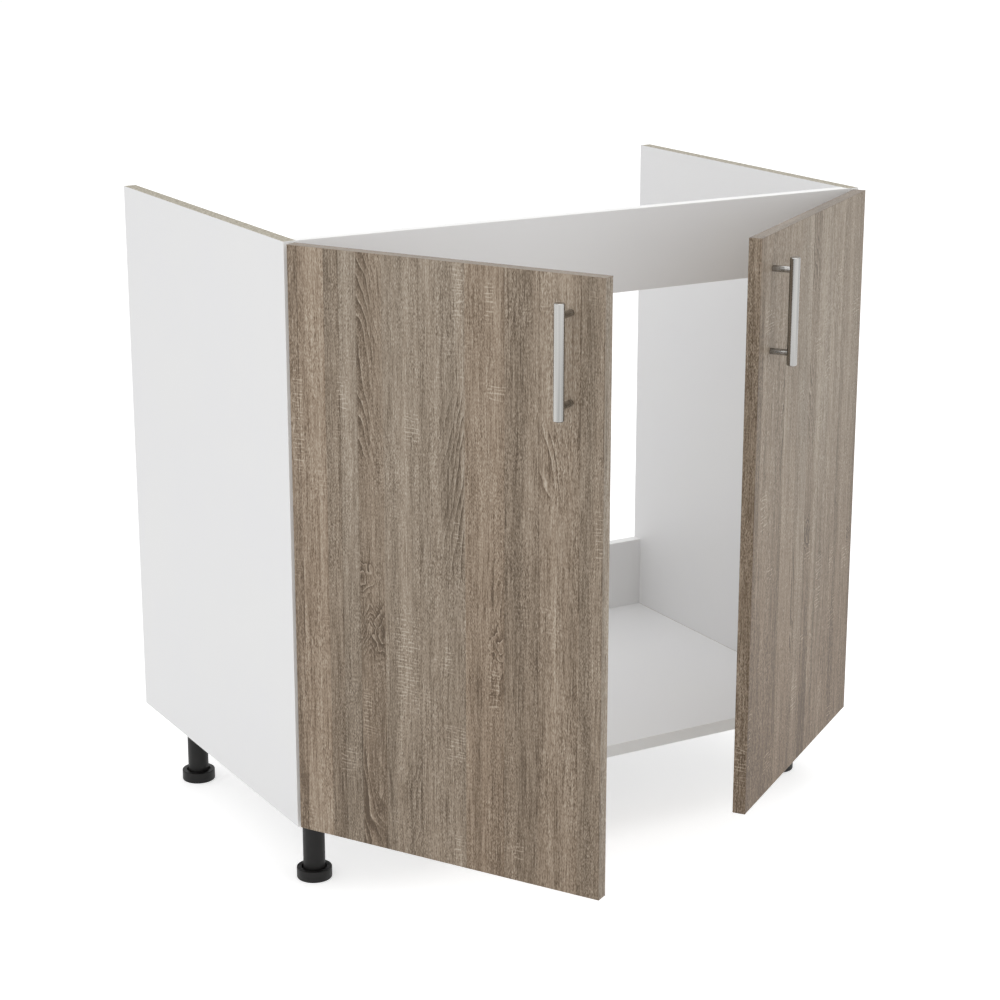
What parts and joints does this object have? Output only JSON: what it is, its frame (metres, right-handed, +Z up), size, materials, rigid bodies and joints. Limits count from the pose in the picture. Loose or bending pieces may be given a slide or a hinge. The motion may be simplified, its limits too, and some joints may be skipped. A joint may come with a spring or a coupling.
{
  "type": "sink base cabinet",
  "caption": "Open-backed base cabinet for a kitchen sink, with two hinged wood-decor doors, bar handles, front and rear rails and height-adjustable legs.",
  "frame": {"origin": "on the floor, under the middle of the cabinet as it stands with its doors ajar; the carcase front edges are 62 mm in front of it", "axes": "+X to the right seen from the front, +Y from the doors towards the wall, +Z up"},
  "size_m": [0.8016, 0.8316, 0.8],
  "materials": {
    "white_board": "white melamine-faced chipboard, raw chipboard on the unbanded edges",
    "white_edging": "white plastic edge strip, satin",
    "oak_board": "grey-brown sawn-oak decor on chipboard, vertical grain",
    "oak_edging": "grey-brown oak-print plastic edge strip",
    "soft_buffer": "clear soft plastic",
    "brushed_steel": "brushed stainless steel",
    "hinge_nickel": "nickel-plated pressed steel",
    "beech_dowel": "plain beech",
    "die_cast_zinc": "die-cast zinc",
    "plated_screw": "zinc-plated steel",
    "leg_plastic": "black moulded plastic"
  },
  "bodies": {
    "carcase": {"arm_screws": "plated_screw", "bottom_front_band": "white_edging", "bottom_panel": "white_board", "cam_bolts": "plated_screw", "cam_housings": "die_cast_zinc", "dowels": "beech_dowel", "front_rail": "white_board", "front_rail_bands": "white_edging", "hinge_arm_lower_left": "hinge_nickel", "hinge_arm_lower_right": "hinge_nickel", "hinge_arm_upper_left": "hinge_nickel", "hinge_arm_upper_right": "hinge_nickel", "hinge_plate_lower_left": "hinge_nickel", "hinge_plate_lower_right": "hinge_nickel", "hinge_plate_upper_left": "hinge_nickel", "hinge_plate_upper_right": "hinge_nickel", "leg_socket_front_left": "leg_plastic", "leg_socket_front_right": "leg_plastic", "leg_socket_rear_left": "leg_plastic", "leg_socket_rear_right": "leg_plastic", "leg_tube_front_left": "leg_plastic", "leg_tube_front_right": "leg_plastic", "leg_tube_rear_left": "leg_plastic", "leg_tube_rear_right": "leg_plastic", "plate_screws": "plated_screw", "rear_rail": "white_board", "rear_rail_band": "white_edging", "side_front_bands": "white_edging", "side_panel_left": "white_board", "side_panel_right": "white_board", "socket_screws": "plated_screw"},
    "door_left": {"cup_screws_left": "plated_screw", "door_bands_left": "oak_edging", "door_bumpers_left": "soft_buffer", "door_panel_left": "oak_board", "handle_bar_left": "brushed_steel", "handle_post_lower_left": "brushed_steel", "handle_post_upper_left": "brushed_steel", "handle_screws_left": "plated_screw", "hinge_cup_lower_left": "hinge_nickel", "hinge_cup_upper_left": "hinge_nickel", "hinge_pin_lower_left": "hinge_nickel", "hinge_pin_upper_left": "hinge_nickel"},
    "door_right": {"cup_screws_right": "plated_screw", "door_bands_right": "oak_edging", "door_bumpers_right": "soft_buffer", "door_panel_right": "oak_board", "handle_bar_right": "brushed_steel", "handle_post_lower_right": "brushed_steel", "handle_post_upper_right": "brushed_steel", "handle_screws_right": "plated_screw", "hinge_cup_lower_right": "hinge_nickel", "hinge_cup_upper_right": "hinge_nickel", "hinge_pin_lower_right": "hinge_nickel", "hinge_pin_upper_right": "hinge_nickel"},
    "foot_front_left": {"adjustable_foot_front_left": "leg_plastic"},
    "foot_front_right": {"adjustable_foot_front_right": "leg_plastic"},
    "foot_rear_left": {"adjustable_foot_rear_left": "leg_plastic"},
    "foot_rear_right": {"adjustable_foot_rear_right": "leg_plastic"}
  },
  "joints": [
    {"name": "door_left_hinge", "type": "hinge", "parent": "carcase", "child": "door_left", "pos_m": [-0.3925, -0.074, 0.45], "axis": [0, 0, -1], "range_deg": [-60, 35]},
    {"name": "door_right_hinge", "type": "hinge", "parent": "carcase", "child": "door_right", "pos_m": [0.3925, -0.074, 0.45], "axis": [0, 0, 1], "range_deg": [-35, 60]},
    {"name": "front_left_foot_height", "type": "slide", "parent": "carcase", "child": "foot_front_left", "axis": [0, 0, -1], "range_m": [0, 0.025]},
    {"name": "front_right_foot_height", "type": "slide", "parent": "carcase", "child": "foot_front_right", "axis": [0, 0, -1], "range_m": [0, 0.025]},
    {"name": "rear_left_foot_height", "type": "slide", "parent": "carcase", "child": "foot_rear_left", "axis": [0, 0, -1], "range_m": [0, 0.025]},
    {"name": "rear_right_foot_height", "type": "slide", "parent": "carcase", "child": "foot_rear_right", "axis": [0, 0, -1], "range_m": [0, 0.025]}
  ]
}
